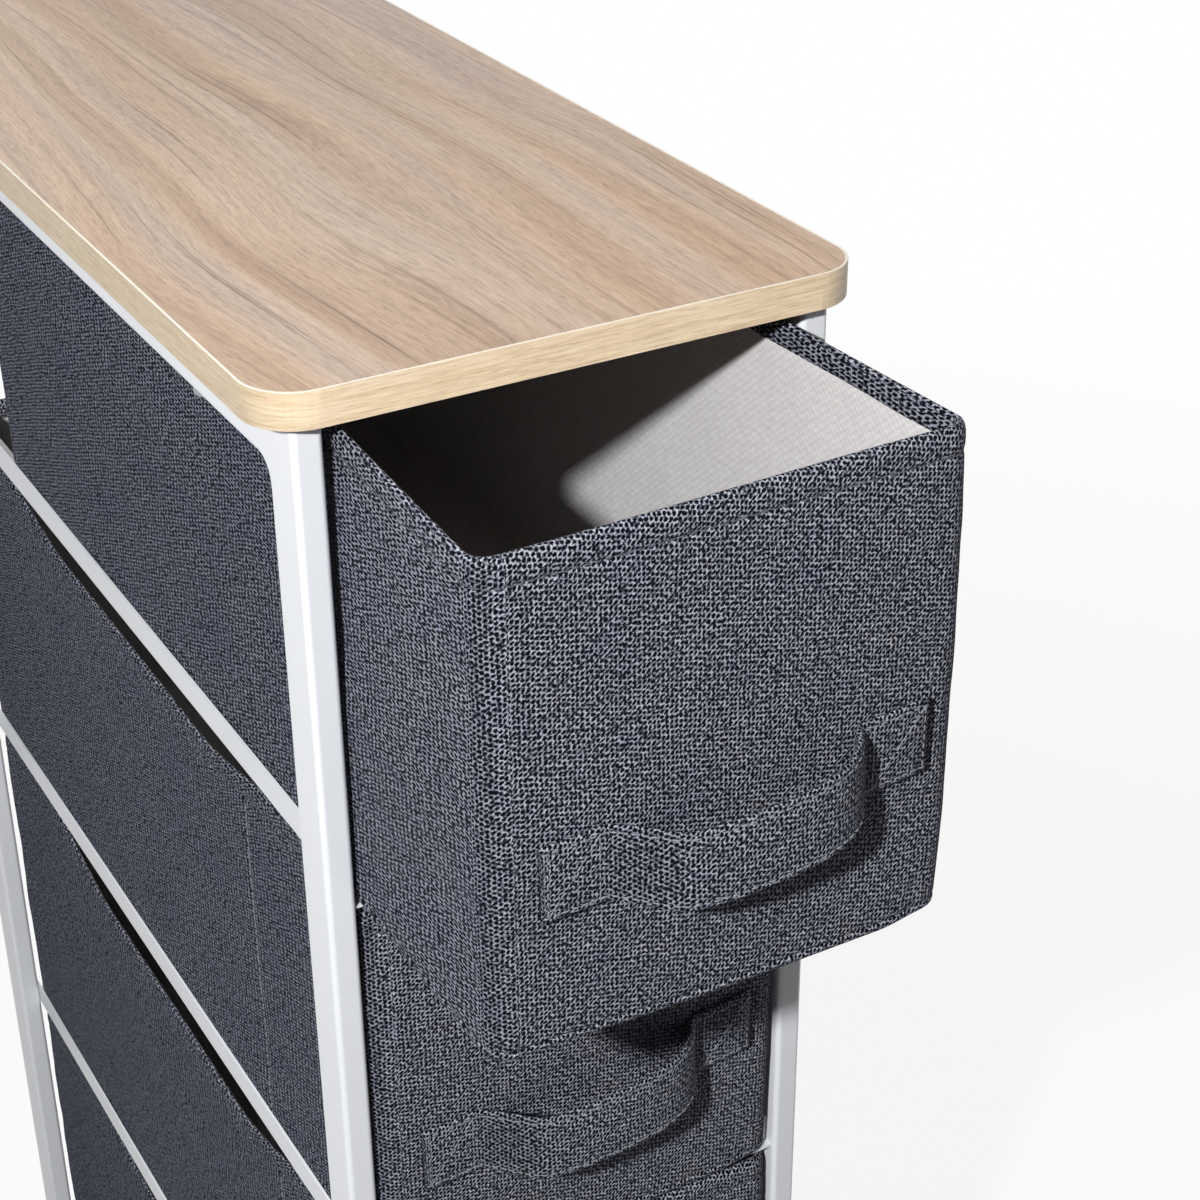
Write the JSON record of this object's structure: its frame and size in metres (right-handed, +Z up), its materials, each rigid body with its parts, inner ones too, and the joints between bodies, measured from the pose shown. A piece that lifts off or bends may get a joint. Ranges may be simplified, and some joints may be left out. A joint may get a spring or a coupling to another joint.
{
  "type": "drawer storage tower",
  "caption": "Narrow free-standing storage tower: wooden top on white steel side frames, with soft fabric drawers that slide on side runners and open by a strap handle.",
  "frame": {"origin": "on the floor, under the middle of the box that the tower fills at rest, with its top drawer drawn out", "axes": "+X to the right seen from the front, -Y towards the front, where the drawers open, +Z up"},
  "size_m": [0.205, 0.585, 0.758],
  "materials": {
    "laminate": "satin",
    "band": "satin",
    "white_steel": "satin",
    "black_plastic": "matte",
    "zinc": "bright",
    "fabric": "woven",
    "strap": "woven",
    "lining": "matte",
    "cardboard": "matte",
    "fibreboard": "matte"
  },
  "bodies": {
    "frame": {"top_board": "laminate", "edge_band": "band", "front_lower_bar": "white_steel", "back_lower_bar": "white_steel", "back_upper_bar": "white_steel", "front_post_left": "white_steel", "back_post_left": "white_steel", "top_rail_left": "white_steel", "front_foot_left": "black_plastic", "back_foot_left": "black_plastic", "front_lower_bolt_left": "zinc", "back_lower_bolt_left": "zinc", "back_upper_bolt_left": "zinc", "board_screw_front_left": "zinc", "board_screw_back_left": "zinc", "runner_1_left": "white_steel", "runner_2_left": "white_steel", "runner_3_left": "white_steel", "runner_4_left": "white_steel", "front_post_right": "white_steel", "back_post_right": "white_steel", "top_rail_right": "white_steel", "front_foot_right": "black_plastic", "back_foot_right": "black_plastic", "front_lower_bolt_right": "zinc", "back_lower_bolt_right": "zinc", "back_upper_bolt_right": "zinc", "board_screw_front_right": "zinc", "board_screw_back_right": "zinc", "runner_1_right": "white_steel", "runner_2_right": "white_steel", "runner_3_right": "white_steel", "runner_4_right": "white_steel"},
    "drawer_1": {"drawer_1_cover": "fabric", "drawer_1_lining": "lining", "drawer_1_front_stiffener": "cardboard", "drawer_1_back_stiffener": "cardboard", "drawer_1_base": "fibreboard", "drawer_1_handle": "strap"},
    "drawer_2": {"drawer_2_cover": "fabric", "drawer_2_lining": "lining", "drawer_2_front_stiffener": "cardboard", "drawer_2_back_stiffener": "cardboard", "drawer_2_base": "fibreboard", "drawer_2_handle": "strap"},
    "drawer_3": {"drawer_3_cover": "fabric", "drawer_3_lining": "lining", "drawer_3_front_stiffener": "cardboard", "drawer_3_back_stiffener": "cardboard", "drawer_3_base": "fibreboard", "drawer_3_handle": "strap"},
    "drawer_4": {"drawer_4_cover": "fabric", "drawer_4_lining": "lining", "drawer_4_front_stiffener": "cardboard", "drawer_4_back_stiffener": "cardboard", "drawer_4_base": "fibreboard", "drawer_4_handle": "strap"}
  },
  "joints": [
    {"name": "drawer_1_slide", "type": "slide", "parent": "frame", "child": "drawer_1", "axis": [0, -1, 0], "range_m": [-0.0916, 0.1284]},
    {"name": "drawer_2_slide", "type": "slide", "parent": "frame", "child": "drawer_2", "axis": [0, -1, 0], "range_m": [0, 0.22]},
    {"name": "drawer_3_slide", "type": "slide", "parent": "frame", "child": "drawer_3", "axis": [0, -1, 0], "range_m": [0, 0.22]},
    {"name": "drawer_4_slide", "type": "slide", "parent": "frame", "child": "drawer_4", "axis": [0, -1, 0], "range_m": [0, 0.22]}
  ]
}
